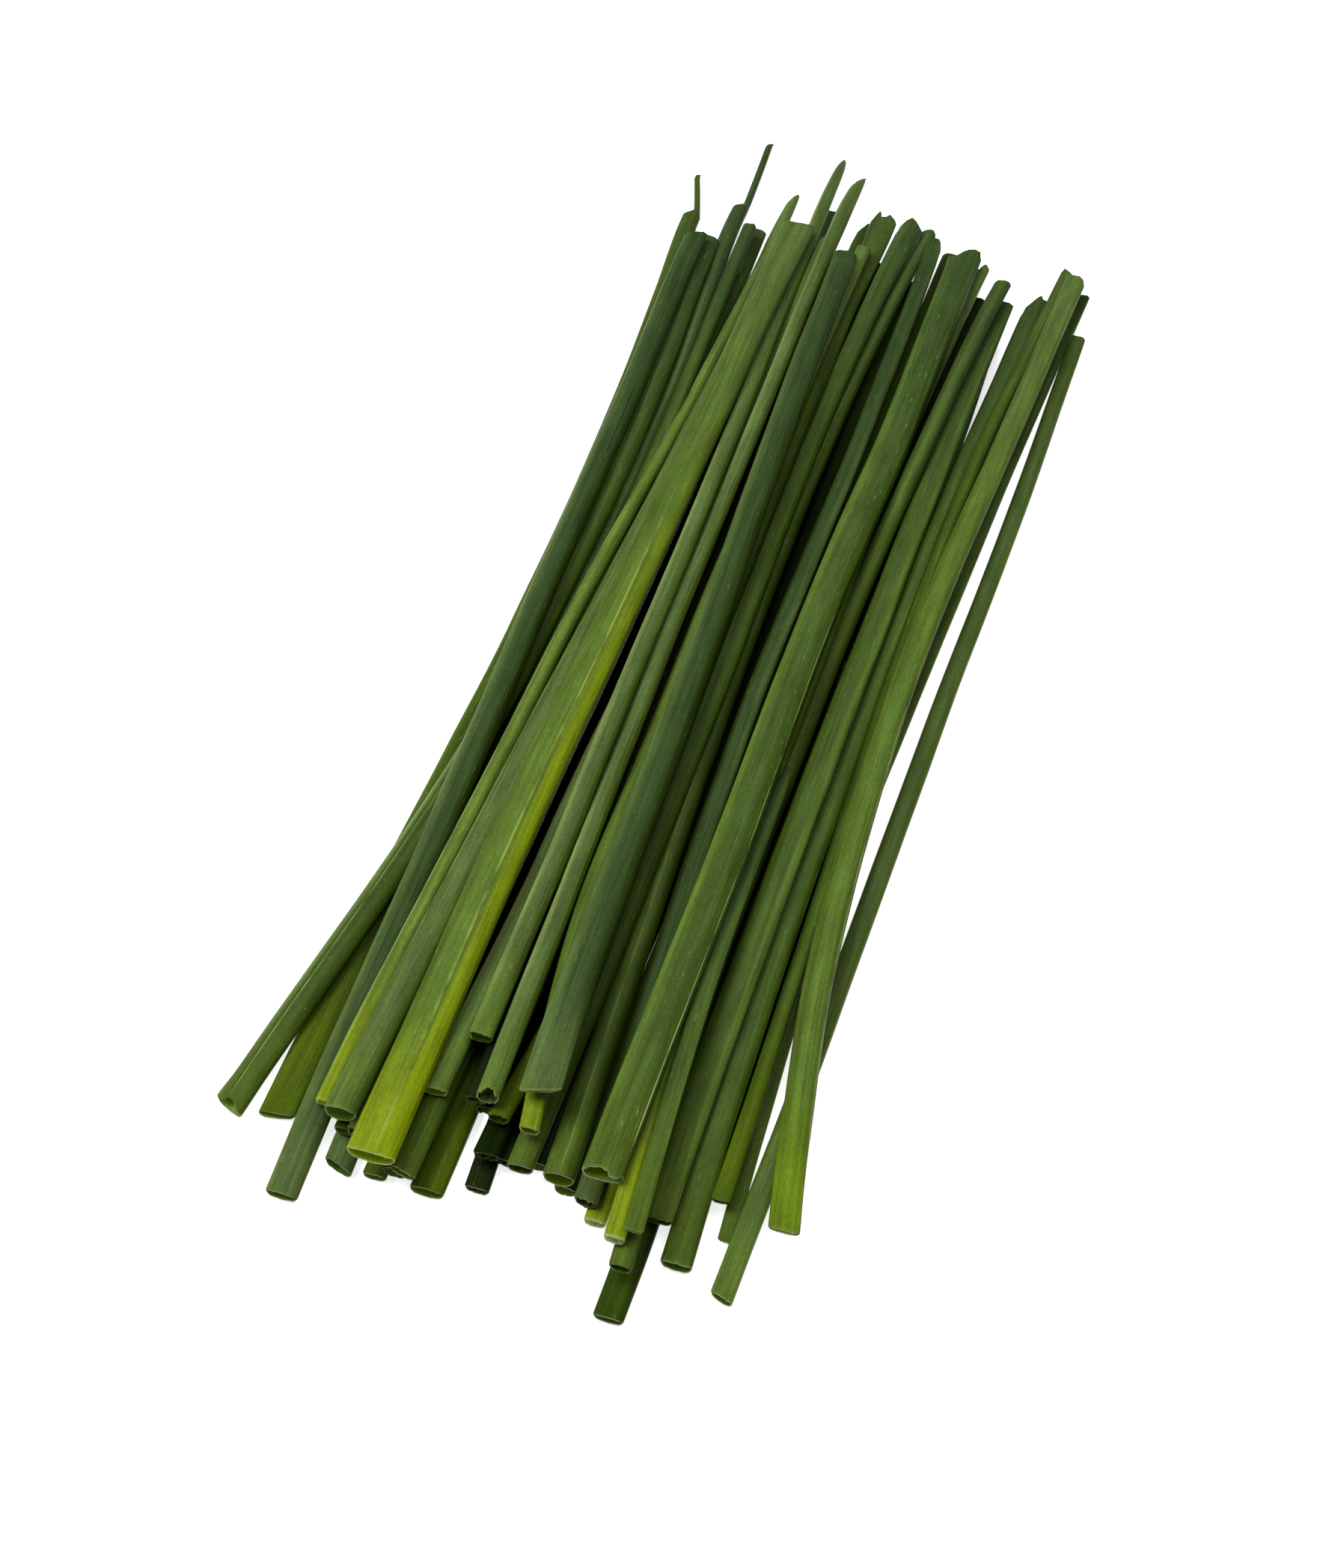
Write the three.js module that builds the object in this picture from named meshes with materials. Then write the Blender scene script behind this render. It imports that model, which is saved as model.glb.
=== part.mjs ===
// A loose bunch of chives, lying down.
// Millimetres, +Z up. The blades lie along Y: their cut ends at -Y, their tips at +Y.
// The finished part has its origin at the middle of its footprint, on the surface it lies on.

import * as THREE from 'three';

// ---- Driving dimensions -------------------------------------------------------------

const PLAN_LINES = [0, 50, 100, 150, 190]; // distances from the cut end where x is given
const SECTION_STEP = 25;                   // distance between the sections of one blade
const LEAST_STEP = 6;                      // shortest distance from an end to the next section
const SIDES = 8;                           // flats round a blade
const WALL = 0.45;                         // thickness of the leaf wall round its hollow
const LEAST_HOLLOW = 0.2;                  // lowest hollow that a blade keeps open
const GAP = 0.3;                           // air between two blades that touch
const DROOP = 0.004;                       // sag of a free end, per mm of reach squared
const POINT_LENGTH = 14;                   // length over which a natural tip draws in
const POINT_WIDTH = 0.35;                  // share of its width that a blade keeps at its tip
const SHOULDER = 0.75;                     // how far along the point, and how wide, its shoulder is
const STRIP_WIDTH = 1.1;                   // width of the strip that a torn end leaves
const STRIP_THICKNESS = 0.88;              // thickness of that strip
const STRIP_NECK = 1.5;                    // length over which a torn end narrows to its strip
const CHECKS_PER_STEP = 5;                 // places between two sections where contact is tested
const SETTLING_ROUNDS = 60;                // passes that lift a blade clear of what it lies on

const TONES = {
  deep: { colour: 0x2c4722, roughness: 0.5 },
  bluish: { colour: 0x3a5a3a, roughness: 0.6 },
  mid: { colour: 0x4f7331, roughness: 0.5 },
  light: { colour: 0x76973f, roughness: 0.45 },
  lime: { colour: 0x9ab832, roughness: 0.45 },
};

// ---- The blades, in the order they are laid ------------------------------------------
//
// x      sideways place of the blade's middle at each plan line
// cut    where its cut end lies, measured along the bunch
// tip    where its far end lies
// width  across the blade at the cut and at the far end
// flat   its thickness as a share of its width
// end    'cut' square, 'point' for a natural tip, 'torn' for a strip left standing
// strip  where across the end it starts, from -1 at the left to 1 at the right, then its
//        tip's sideways place and its length
// skew   how much further the cut's right edge lies than its left edge

const BOTTOM_LAYER = [
  { x: [-32.4, -31.4, -29.6, -30.2, -32.8], cut: 9.2, tip: 193.5, width: [4.7, 3.2], flat: 0.42,
    tone: 'light', end: 'torn', strip: [0.6, -35.3, 10.5], skew: 0.8 },
  { x: [-27.5, -27, -26, -26, -26.5], cut: 17.5, tip: 182, width: [3.4, 2.6], flat: 0.6, tone: 'deep' },
  { x: [-21.6, -23, -23.5, -23.7, -25.5], cut: 4, tip: 197, width: [4, 2.6], flat: 0.6, tone: 'deep',
    end: 'torn', strip: [0.5, -26.1, 18], skew: -1.3 },
  { x: [-16.8, -17.5, -19, -20.5, -21.4], cut: 4.2, tip: 193.5, width: [3.1, 2.2], flat: 0.6, tone: 'light' },
  { x: [-18, -17.5, -16.5, -15.5, -16], cut: 12, tip: 189.5, width: [3.4, 2.6], flat: 0.6, tone: 'deep' },
  { x: [-9.6, -9.5, -8, -6, -5], cut: 3.8, tip: 202, width: [4.4, 2.6], flat: 0.55, tone: 'deep' },
  { x: [-3.5, -5.5, -6.5, -7, -7], cut: 6.2, tip: 190.5, width: [3.2, 2.4], flat: 0.6, tone: 'deep' },
  { x: [-1, -1.5, -3, -2.5, -1.5], cut: 10.5, tip: 191.5, width: [3.2, 2.6], flat: 0.55, tone: 'deep' },
  { x: [2.5, 2, 1.5, 1.5, 2], cut: 12, tip: 194, width: [2.8, 2.2], flat: 0.65, tone: 'deep' },
  { x: [7, 7.5, 8, 8.5, 9.5], cut: 9.5, tip: 197, width: [3, 2.3], flat: 0.6, tone: 'deep' },
  { x: [12.3, 11, 11, 11.5, 12], cut: 6, tip: 189.5, width: [2.8, 2.4], flat: 0.65, tone: 'light' },
  { x: [14.1, 14.6, 14.8, 15.3, 15.7], cut: 14, tip: 188, width: [3.1, 3.1], flat: 0.55, tone: 'deep' },
  { x: [18, 18, 18.5, 19, 19.5], cut: -7, tip: 184, width: [3.6, 3], flat: 0.6, tone: 'deep' },
  { x: [22, 22, 21.5, 20.8, 20.2], cut: 17, tip: 176, width: [3, 2.4], flat: 0.55, tone: 'mid' },
  { x: [25.5, 25, 25, 25.5, 27], cut: 18.5, tip: 188, width: [2.6, 2.2], flat: 0.6, tone: 'deep' },
  { x: [29, 27, 27.5, 29.5, 31.5], cut: 8.5, tip: 194, width: [1.9, 1.7], flat: 0.75, tone: 'deep' },
  { x: [30.7, 31.6, 32, 33, 33.3], cut: -0.5, tip: 183, width: [3, 2.3], flat: 0.6, tone: 'mid',
    skew: -1 },
  { x: [-14.1, -13.7, -12.9, -12.1, -12.6], cut: 4.8, tip: 184, width: [3.4, 3], flat: 0.55, tone: 'deep' },
  { x: [4.7, 4.7, 4.75, 5, 5.6], cut: 45, tip: 188, width: [1.9, 4.1], flat: 0.55, tone: 'deep' },
];

const SECOND_LAYER = [
  { x: [-40.2, -31.2, -26, -26, -28], cut: 8.5, tip: 186.5, width: [4.1, 3.2], flat: 0.5, tone: 'mid',
    skew: -2 },
  { x: [-27, -27, -27.5, -28.5, -29.5], cut: -2.4, tip: 185, width: [4.3, 3.3], flat: 0.5, tone: 'bluish' },
  { x: [-22.5, -21.5, -21, -21, -21.5], cut: 8, tip: 180.5, width: [2.6, 2.2], flat: 0.65, tone: 'deep' },
  { x: [-20, -19.5, -20, -21, -22.5], cut: 7.4, tip: 191.5, width: [3, 2], flat: 0.65, tone: 'mid' },
  { x: [-12.8, -11.5, -11, -11.5, -11.5], cut: 3.7, tip: 201, width: [3.6, 2.4], flat: 0.6, tone: 'deep',
    skew: -1 },
  { x: [-4, -2.5, -2, -1, -1], cut: 9.7, tip: 189.5, width: [3.3, 2.5], flat: 0.6, tone: 'deep' },
  { x: [-5.5, -6, -6, -6, -5.5], cut: 15.5, tip: 186.5, width: [2.5, 2.2], flat: 0.65, tone: 'mid' },
  { x: [6.8, 4.1, 2.4, 2.3, 4.5], cut: 9.3, tip: 200, width: [4, 2.2], flat: 0.75, tone: 'deep' },
  { x: [1, 1.7, 1.5, 0.8, 2], cut: 9.2, tip: 200.5, width: [3.4, 2.9], flat: 0.55, tone: 'mid' },
  { x: [10.8, 8, 6.5, 7, 7], cut: 7.5, tip: 198.5, width: [3, 2.4], flat: 0.6, tone: 'bluish' },
  { x: [23.9, 22.5, 22.5, 23.8, 25.4], cut: 2.5, tip: 190, width: [4, 2.8], flat: 0.55, tone: 'deep' },
  { x: [27, 26, 25, 25.5, 28], cut: 12.5, tip: 196.5, width: [2.3, 2.1], flat: 0.7, tone: 'deep' },
  { x: [19.8, 19.5, 19.8, 20, 20.5], cut: 7, tip: 185, width: [4.3, 3.2], flat: 0.5, tone: 'mid' },
];

const THIRD_LAYER = [
  { x: [-6.5, -7.5, -8.5, -9.5, -10], cut: 15.5, tip: 188.5, width: [2.8, 2.3], flat: 0.6, tone: 'deep' },
  { x: [-5, 0, -1, -1.5, -2], cut: 14, tip: 198.5, width: [2.8, 2.3], flat: 0.6, tone: 'light',
    end: 'torn', strip: [-0.3, -2.8, 2.5] },
  { x: [18, 15.4, 15.1, 17.5, 20], cut: -2, tip: 188, width: [2.9, 2.5], flat: 0.6, tone: 'mid' },
  { x: [16.5, 14, 13.5, 13.6, 15.2], cut: 0.5, tip: 194.5, width: [2.6, 2.1], flat: 0.75, tone: 'lime' },
  { x: [2.8, -3, -4, -3, -3], cut: 13, tip: 188.5, width: [2.6, 2.2], flat: 0.75, tone: 'lime' },
  { x: [-13, -11.3, -9.5, -9, -9], cut: 15.5, tip: 189.5, width: [3, 2.2], flat: 0.6, tone: 'light' },
  { x: [-26.1, -24, -21.5, -18.6, -18.7], cut: 10.4, tip: 204, width: [3, 2], flat: 0.6, tone: 'lime',
    end: 'point' },
];

const TOP_LAYER = [
  { x: [-23.2, -20.6, -17.9, -15.8, -15], cut: 8.4, tip: 184, width: [4.1, 3], flat: 0.7, tone: 'mid' },
  { x: [18.7, 15.9, 15.6, 15.6, 15.6], cut: 1.7, tip: 82, width: [2.4, 2.2], flat: 0.45, tone: 'light',
    end: 'point' },
  { x: [-4.7, -6.2, -7.1, -7.8, -8], cut: 15, tip: 205, width: [2.9, 2.1], flat: 0.75, tone: 'light',
    end: 'point' },
  { x: [-8.8, -9.5, -9.4, -10.5, -12], cut: 24, tip: 213, width: [3.1, 1.9], flat: 0.7, tone: 'mid',
    end: 'point' },
  { x: [12.5, 12.8, 11.8, 12.8, 12.4], cut: 8, tip: 196, width: [4.8, 4.4], flat: 0.42, tone: 'mid' },
  { x: [37.4, 29.1, 26.8, 28.5, 30], cut: 11, tip: 194.5, width: [4, 3], flat: 0.45, tone: 'light' },
  { x: [2, 0, -1.8, -3.5, -5], cut: 17, tip: 190, width: [5.1, 3.6], flat: 0.42, tone: 'bluish',
    skew: 1.5 },
  { x: [-16.5, -16.2, -14.8, -14, -14], cut: 3, tip: 189.5, width: [5.8, 4], flat: 0.5, tone: 'lime' },
];

const LAYERS = { bottom: BOTTOM_LAYER, second: SECOND_LAYER, third: THIRD_LAYER, top: TOP_LAYER };

// ---- A blade seen from above -----------------------------------------------------------

const mix = (a, b, share) => a + (b - a) * share;

// A smooth curve through the plan places, straight on beyond the first and the last.
function sideways(places, y) {
  const last = PLAN_LINES.length - 1;
  const slope = (i) => {
    const before = Math.max(0, i - 1);
    const after = Math.min(last, i + 1);
    return (places[after] - places[before]) / (PLAN_LINES[after] - PLAN_LINES[before]);
  };
  if (y <= PLAN_LINES[0]) return places[0] + slope(0) * (y - PLAN_LINES[0]);
  if (y >= PLAN_LINES[last]) return places[last] + slope(last) * (y - PLAN_LINES[last]);
  const i = PLAN_LINES.findIndex((line) => line > y) - 1;
  const run = PLAN_LINES[i + 1] - PLAN_LINES[i];
  const t = (y - PLAN_LINES[i]) / run;
  const from = places[i] * (1 + 2 * t) + slope(i) * run * t;
  const to = places[i + 1] * (3 - 2 * t) - slope(i + 1) * run * (1 - t);
  return from * (1 - t) ** 2 + to * t ** 2;
}

// The sections of a blade: a place along the bunch, a place across it, a width and a thickness.
function planSections(blade) {
  const { cut, tip, width, flat, end = 'cut' } = blade;
  const shoulder = end === 'point' ? tip - POINT_LENGTH : tip;
  const section = (y, share = 1) => {
    const across = mix(width[0], width[1], (y - cut) / (tip - cut)) * share;
    return { y, x: sideways(blade.x, y), width: across, thick: across * flat };
  };
  const sections = [section(cut)];
  const first = Math.ceil((cut + LEAST_STEP) / SECTION_STEP) * SECTION_STEP;
  for (let y = first; y < shoulder - LEAST_STEP; y += SECTION_STEP) sections.push(section(y));
  sections.push(section(shoulder));
  if (end === 'point') {
    sections.push(section(mix(shoulder, tip, SHOULDER), SHOULDER));
    sections.push(section(tip, POINT_WIDTH));
  }
  if (end === 'torn') {
    const [side, stripTip, length] = blade.strip;
    const strip = { width: STRIP_WIDTH, thick: STRIP_THICKNESS };
    const root = sections[sections.length - 1].x + (side * (width[1] - STRIP_WIDTH)) / 2;
    sections.push({ ...strip, y: tip + STRIP_NECK, x: mix(root, stripTip, STRIP_NECK / length) });
    sections.push({ ...strip, y: tip + length, x: stripTip });
  }
  return sections;
}

// ---- How high each blade lies ------------------------------------------------------------

// The section of a blade at any y between its ends, or null beyond them.
function sectionAt(sections, y) {
  const last = sections.length - 1;
  if (y < sections[0].y - GAP || y > sections[last].y + GAP) return null;
  const next = sections.findIndex((s) => s.y >= y);
  const i = Math.min(last - 1, Math.max(0, next === -1 ? last - 1 : next - 1));
  return between(sections[i], sections[i + 1], (y - sections[i].y) / (sections[i + 1].y - sections[i].y));
}

function between(a, b, share) {
  return {
    y: mix(a.y, b.y, share),
    x: mix(a.x, b.x, share),
    z: mix(a.z, b.z, share),
    width: mix(a.width, b.width, share),
    thick: mix(a.thick, b.thick, share),
  };
}

// The lowest height that a section can have over the surface and the blades already laid.
function restingHeight(section, laid) {
  let height = section.thick / 2;
  for (const other of laid) {
    const under = sectionAt(other, section.y);
    if (!under) continue;
    const reach = (section.width + under.width) / 2 + GAP;
    const aside = Math.abs(section.x - under.x) / reach;
    if (aside >= 1) continue;
    const stack = (section.thick + under.thick) / 2 + GAP;
    height = Math.max(height, under.z + stack * Math.sqrt(1 - aside ** 2));
  }
  return height;
}

// Lays one blade: it rests on its high points, droops away from them, and spans the rest.
function layDown(sections, laid) {
  const contacts = [];
  for (let i = 0; i < sections.length - 1; i += 1) {
    for (let step = 0; step <= CHECKS_PER_STEP; step += 1) {
      const share = step / CHECKS_PER_STEP;
      const place = between(sections[i], sections[i + 1], share);
      contacts.push({ i, share, y: place.y, height: restingHeight(place, laid) });
    }
  }
  for (const section of sections) {
    const held = contacts.map((c) => c.height - DROOP * (section.y - c.y) ** 2);
    section.z = Math.max(section.thick / 2, ...held);
  }
  for (let round = 0; round < SETTLING_ROUNDS; round += 1) {
    for (const { i, share, height } of contacts) {
      const lift = height - mix(sections[i].z, sections[i + 1].z, share);
      if (lift <= 0) continue;
      const weight = (1 - share) ** 2 + share ** 2;
      sections[i].z += (lift * (1 - share)) / weight;
      sections[i + 1].z += (lift * share) / weight;
    }
  }
}

// ---- The solid of a blade ------------------------------------------------------------------

// One ring of corners round a section, drawn in by inset, with a flat side underneath.
function ring(section, inset, skew) {
  const halfWidth = section.width / 2 - inset;
  const halfThick = section.thick / 2 - inset;
  const corner = 1 / Math.cos(Math.PI / SIDES);
  const points = [];
  for (let i = 0; i < SIDES; i += 1) {
    const angle = ((i + 0.5) * 2 * Math.PI) / SIDES;
    const across = Math.cos(angle) * corner * halfWidth;
    const up = Math.sin(angle) * corner * halfThick;
    points.push([section.x + across, section.y + (skew * across) / section.width, section.z + up]);
  }
  return points;
}

// The closed tube with both ends open, or with a closed tip and a hollow that ends before it.
function bladeGeometry(sections, blade) {
  const skewAt = (i) => (i === 0 ? blade.skew ?? 0 : 0);
  const outer = sections.map((section, i) => ring(section, 0, skewAt(i)));
  const hollow = sections.filter((section) => section.thick > 2 * WALL + LEAST_HOLLOW);
  const inner = hollow.map((section, i) => ring(section, WALL, skewAt(i)));
  const open = hollow.length === sections.length;
  const rings = [...outer].reverse().concat(inner);
  const faces = [];
  for (let r = 0; r < rings.length - 1; r += 1) {
    for (let i = 0; i < SIDES; i += 1) {
      const j = (i + 1) % SIDES;
      const [a, b] = [r * SIDES + i, r * SIDES + j];
      faces.push(a, b, a + SIDES, b, b + SIDES, a + SIDES);
    }
  }
  const last = (rings.length - 1) * SIDES;
  if (open) {
    for (let i = 0; i < SIDES; i += 1) {
      const j = (i + 1) % SIDES;
      faces.push(last + i, last + j, i, last + j, j, i);
    }
  } else {
    for (let i = 1; i < SIDES - 1; i += 1) {
      faces.push(0, i + 1, i);
      faces.push(last, last + i, last + i + 1);
    }
  }
  const geometry = new THREE.BufferGeometry();
  geometry.setAttribute('position', new THREE.Float32BufferAttribute(rings.flat(2), 3));
  geometry.setIndex(faces);
  geometry.computeVertexNormals();
  return geometry;
}

// ---- The bunch -------------------------------------------------------------------------------

const materials = Object.fromEntries(Object.entries(TONES).map(([tone, { colour, roughness }]) => [
  tone,
  new THREE.MeshStandardMaterial({ color: colour, roughness, metalness: 0 }),
]));

const bunch = new THREE.Group();
const laid = [];
for (const [layer, blades] of Object.entries(LAYERS)) {
  blades.forEach((blade, index) => {
    const sections = planSections(blade);
    layDown(sections, laid);
    laid.push(sections);
    const mesh = new THREE.Mesh(bladeGeometry(sections, blade), materials[blade.tone]);
    mesh.name = `${layer}_blade_${String(index + 1).padStart(2, '0')}`;
    bunch.add(mesh);
  });
}

// The origin goes to the middle of the footprint; the blades already lie on z = 0.
const box = new THREE.Box3().setFromObject(bunch);
const middle = box.getCenter(new THREE.Vector3());
bunch.position.set(-middle.x, -middle.y, 0);

export default bunch;
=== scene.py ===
# %% [markdown]
# # A loose bunch of fresh chives
# The bunch is forty-seven leaf blades that lie side by side and on one another. Each blade is a
# long hollow tube, cut off square at the near end. The frame already holds every blade as a
# plain eight-sided tube at its real size and place. This lesson gives each one its finished
# shape and skin: the rounded or keeled back, the fine ribs, the cut rim, the torn tip and the
# greens of a real leaf.

# %% Load the frame
import math

import bpy
import numpy as np
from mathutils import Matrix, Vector
from mathutils.bvhtree import BVHTree


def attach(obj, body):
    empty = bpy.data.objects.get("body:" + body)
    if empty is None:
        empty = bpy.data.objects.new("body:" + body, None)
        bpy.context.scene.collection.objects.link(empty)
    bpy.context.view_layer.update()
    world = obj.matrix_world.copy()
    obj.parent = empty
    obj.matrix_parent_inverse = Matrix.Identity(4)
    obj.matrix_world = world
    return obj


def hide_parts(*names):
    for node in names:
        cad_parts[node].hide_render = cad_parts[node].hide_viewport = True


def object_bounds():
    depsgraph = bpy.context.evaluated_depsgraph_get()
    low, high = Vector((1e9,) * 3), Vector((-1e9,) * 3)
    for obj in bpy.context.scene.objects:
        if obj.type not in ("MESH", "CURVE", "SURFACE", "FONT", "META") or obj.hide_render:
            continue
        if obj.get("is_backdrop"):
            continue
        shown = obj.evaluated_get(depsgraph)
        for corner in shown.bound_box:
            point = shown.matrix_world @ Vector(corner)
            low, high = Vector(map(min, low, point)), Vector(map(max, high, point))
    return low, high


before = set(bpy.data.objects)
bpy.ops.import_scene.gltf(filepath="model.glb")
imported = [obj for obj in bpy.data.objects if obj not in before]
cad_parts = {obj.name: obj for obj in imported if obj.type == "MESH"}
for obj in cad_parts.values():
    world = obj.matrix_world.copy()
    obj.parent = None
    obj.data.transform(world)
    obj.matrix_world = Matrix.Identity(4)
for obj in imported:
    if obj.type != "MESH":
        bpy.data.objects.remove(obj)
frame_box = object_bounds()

MM = 0.001
BLADES = sorted(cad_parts)
print(len(BLADES), "blades in the frame, box in mm:", [[round(c / MM, 1) for c in p] for p in frame_box])

# %% [markdown]
# ## Camera, floor and light
# The bunch lies on a plain white surface and is seen from the cut ends, from well above. A long
# lens keeps the blades almost parallel, with only a little narrowing towards their tips. The
# main light is a wide soft panel from the left, so that each blade has a bright left side and a
# dark right side. A weaker panel overhead and a little even light from all around fill the
# shadows, but leave the gaps between blades almost black. One sun lamp would be simpler, but it
# casts hard shadows.

# %% Camera
VIEW_TURN = math.radians(17.5)
VIEW_HEIGHT = math.radians(50)
VIEW_DISTANCE = 481.5 * MM
AIM = Vector((1.59 * MM, -32 * MM, 8 * MM))
LENS = 80.7

towards_camera = Vector((
    math.sin(VIEW_TURN) * math.cos(VIEW_HEIGHT),
    -math.cos(VIEW_TURN) * math.cos(VIEW_HEIGHT),
    math.sin(VIEW_HEIGHT),
))
camera_data = bpy.data.cameras.new("camera")
camera_data.lens = LENS
camera_data.clip_start = 10 * MM
camera = bpy.data.objects.new("camera", camera_data)
camera.location = AIM + towards_camera * VIEW_DISTANCE
camera.rotation_euler = towards_camera.to_track_quat("Z", "Y").to_euler()
bpy.context.collection.objects.link(camera)
bpy.context.scene.camera = camera
bpy.context.scene.view_settings.view_transform = "Standard"
print("camera at", [round(c, 3) for c in camera.location])

# %% Floor
FLOOR_HALF = 3.0
FLOOR_GLOW = 0.8
SHADED_HALF = (19 * MM, 70 * MM)


def floor_material():
    """Milky white board; a painted glow lifts its shadows, except right under the bunch."""
    material = bpy.data.materials.new("white_board")
    material.use_nodes = True
    tree = material.node_tree
    shader = tree.nodes["Principled BSDF"]
    shader.inputs["Roughness"].default_value = 0.9
    shader.inputs["Specular IOR Level"].default_value = 0.1
    grain = tree.nodes.new("ShaderNodeTexNoise")
    grain.inputs["Scale"].default_value = 3.0
    ramp = tree.nodes.new("ShaderNodeValToRGB")
    ramp.color_ramp.elements[0].color = (0.93, 0.93, 0.93, 1)
    ramp.color_ramp.elements[1].color = (0.95, 0.95, 0.95, 1)
    tree.links.new(grain.outputs["Fac"], ramp.inputs["Fac"])
    tree.links.new(ramp.outputs["Color"], shader.inputs["Base Color"])
    tree.links.new(ramp.outputs["Color"], shader.inputs["Emission Color"])

    place = tree.nodes.new("ShaderNodeTexCoord")
    split = tree.nodes.new("ShaderNodeSeparateXYZ")
    tree.links.new(place.outputs["Object"], split.inputs["Vector"])
    beyond = []
    for axis, half in zip("XY", SHADED_HALF):
        size = tree.nodes.new("ShaderNodeMath")
        size.operation = "ABSOLUTE"
        tree.links.new(split.outputs[axis], size.inputs[0])
        edge = tree.nodes.new("ShaderNodeMapRange")
        edge.inputs["From Min"].default_value = half
        edge.inputs["From Max"].default_value = half + 6 * MM
        tree.links.new(size.outputs["Value"], edge.inputs["Value"])
        beyond.append(edge.outputs["Result"])
    # The glow is painted light; it is left out right under the bunch.
    glow = tree.nodes.new("ShaderNodeMath")
    glow.operation = "MAXIMUM"
    tree.links.new(beyond[0], glow.inputs[0])
    tree.links.new(beyond[1], glow.inputs[1])
    strength = tree.nodes.new("ShaderNodeMath")
    strength.operation = "MULTIPLY"
    strength.inputs[1].default_value = FLOOR_GLOW
    tree.links.new(glow.outputs["Value"], strength.inputs[0])
    tree.links.new(strength.outputs["Value"], shader.inputs["Emission Strength"])
    return material


floor_mesh = bpy.data.meshes.new("floor")
floor_mesh.from_pydata(
    [(-FLOOR_HALF, -FLOOR_HALF, 0), (FLOOR_HALF, -FLOOR_HALF, 0),
     (FLOOR_HALF, FLOOR_HALF, 0), (-FLOOR_HALF, FLOOR_HALF, 0)],
    [], [(0, 1, 2, 3)])
floor = bpy.data.objects.new("floor", floor_mesh)
floor.data.materials.append(floor_material())
bpy.context.collection.objects.link(floor)
floor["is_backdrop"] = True
print("floor side, m:", 2 * FLOOR_HALF)

# %% Light
def soft_panel(name, place, size, watts):
    """A square light panel that faces the middle of the bunch."""
    data = bpy.data.lights.new(name, "AREA")
    data.size = size
    data.energy = watts
    panel = bpy.data.objects.new(name, data)
    panel.location = Vector(place)
    panel.rotation_euler = (Vector(place) - AIM).to_track_quat("Z", "Y").to_euler()
    bpy.context.collection.objects.link(panel)
    return panel


soft_panel("window", (-1.5, -0.1, 2.35), 1.6, 88)
soft_panel("ceiling", (0.6, 0.3, 2.7), 2.0, 34)
print("lights:", [light.name for light in bpy.data.lights])

world = bpy.data.worlds.new("room")
bpy.context.scene.world = world
world.use_nodes = True
world.node_tree.nodes["Background"].inputs["Color"].default_value = (1, 1, 1, 1)
world.node_tree.nodes["Background"].inputs["Strength"].default_value = 0.2

# %% [markdown]
# ## The run of each blade
# A frame blade is a chain of eight-cornered rings, one every 25 mm. Their middles, widths and
# thicknesses say how the leaf runs. A real leaf bends smoothly, so the finished one is lofted
# along smooth curves through those rings. Curve objects with a bevel could sweep a tube, but
# they hold one cross-section for the whole length, so the mesh is built ring by ring instead.

# %% Rings of a frame blade
RING_GAP = 1.2 * MM


def run_of(node):
    """Rows of place along, place across, height, width and thickness, and the skew of the cut."""
    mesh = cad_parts[node].data
    points = np.empty(len(mesh.vertices) * 3)
    mesh.vertices.foreach_get("co", points)
    points = points.reshape(-1, 3)
    points = points[np.argsort(points[:, 1])]
    breaks = np.flatnonzero(np.diff(points[:, 1]) > RING_GAP) + 1
    rings = np.split(points, breaks)
    rows = []
    for ring in rings:
        low, high = ring.min(axis=0), ring.max(axis=0)
        middle, size = (low + high) / 2, high - low
        rows.append((middle[1], middle[0], middle[2], size[0], size[2]))
    first = rings[0]
    skew = first[first[:, 0].argmax(), 1] - first[first[:, 0].argmin(), 1]
    return np.array(rows), skew


runs = {node: run_of(node) for node in BLADES}
print("rings in", BLADES[0], ":", len(runs[BLADES[0]][0]))


# %% A smooth curve through values
def smooth_curve(at, places, values):
    """Reads a smooth curve through the values, one that never overshoots them."""
    step = np.diff(places)
    slope = np.diff(values) / step
    tangent = np.zeros(len(places))
    tangent[0], tangent[-1] = slope[0], slope[-1]
    same_way = slope[:-1] * slope[1:] > 0
    inner = np.zeros(len(slope) - 1)
    inner[same_way] = 2 * slope[:-1][same_way] * slope[1:][same_way] / (slope[:-1] + slope[1:])[same_way]
    tangent[1:-1] = inner
    i = np.clip(np.searchsorted(places, at, side="right") - 1, 0, len(step) - 1)
    t = (at - places[i]) / step[i]
    start = values[i] * (1 + 2 * t) + tangent[i] * step[i] * t
    finish = values[i + 1] * (3 - 2 * t) - tangent[i + 1] * step[i] * (1 - t)
    return start * (1 - t) ** 2 + finish * t ** 2


def soft_step(x):
    """Rises smoothly from 0 to 1 as x goes from 0 to 1."""
    x = np.clip(x, 0, 1)
    return x * x * (3 - 2 * x)


print("a quarter of the way up a soft step:", soft_step(0.25))


# %% [markdown]
# ## The greens
# Chives in one bunch range from dark blue-green old leaves to yellow-green ones that grew in
# the shade. Each tone gets a plain name here, and every blade is coloured only from these. The
# numbers are the screen colour of a leaf that lies flat in this scene's light, so they are
# divided by the strength of that light to get the colour of the leaf itself.

# %% Tones
LIGHT_ON_A_FLAT_LEAF = 1.55


def tone(red, green, blue):
    """The linear colour of a leaf that shows these screen values when it lies flat."""
    return tuple((c / 255) ** 2.2 / LIGHT_ON_A_FLAT_LEAF for c in (red, green, blue))


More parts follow.
